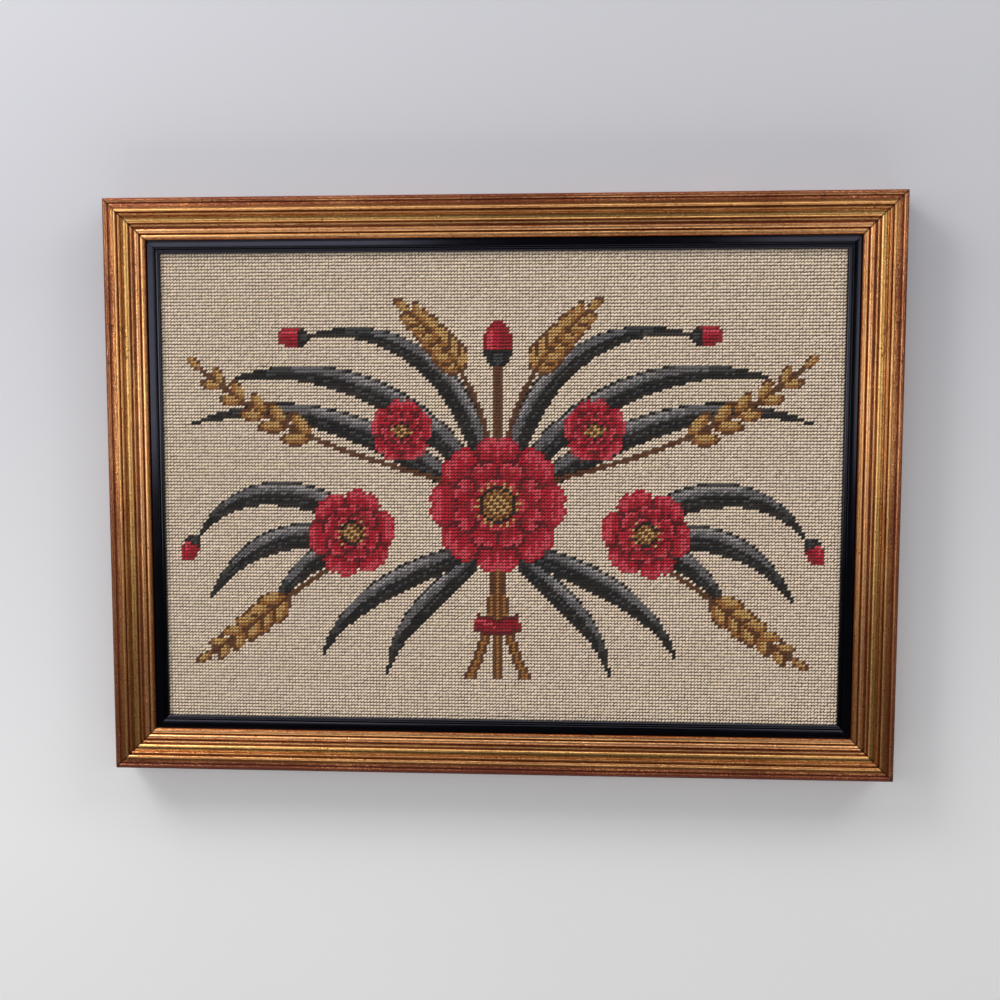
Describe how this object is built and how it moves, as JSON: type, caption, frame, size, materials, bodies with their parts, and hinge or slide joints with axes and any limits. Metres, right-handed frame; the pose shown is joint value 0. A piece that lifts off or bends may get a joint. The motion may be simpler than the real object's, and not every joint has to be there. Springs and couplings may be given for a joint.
{
  "type": "framed needlepoint picture",
  "caption": "Flat framed needlepoint picture: a worked wool canvas stretched behind a stepped black liner in a mitred, reeded gold leaf frame.",
  "frame": {"origin": "middle of the frame's flat back, at the centre of the bounding box's bottom face", "axes": "+X to the picture's right, +Y to the picture's top, +Z out of the picture's face"},
  "size_m": [0.5164, 0.3788, 0.0218],
  "materials": {
    "gold_leaf": "antique gold leaf over red bole on wood, satin",
    "black_satin": "satin black paint on wood",
    "needlepoint_wool": "wool tent stitch on canvas, matte"
  },
  "bodies": {
    "root": {"gold_rail_bottom": "gold_leaf", "gold_rail_right": "gold_leaf", "gold_rail_top": "gold_leaf", "gold_rail_left": "gold_leaf", "liner_strip_bottom": "black_satin", "liner_strip_right": "black_satin", "liner_strip_top": "black_satin", "liner_strip_left": "black_satin", "stitched_canvas": "needlepoint_wool"}
  },
  "joints": []
}
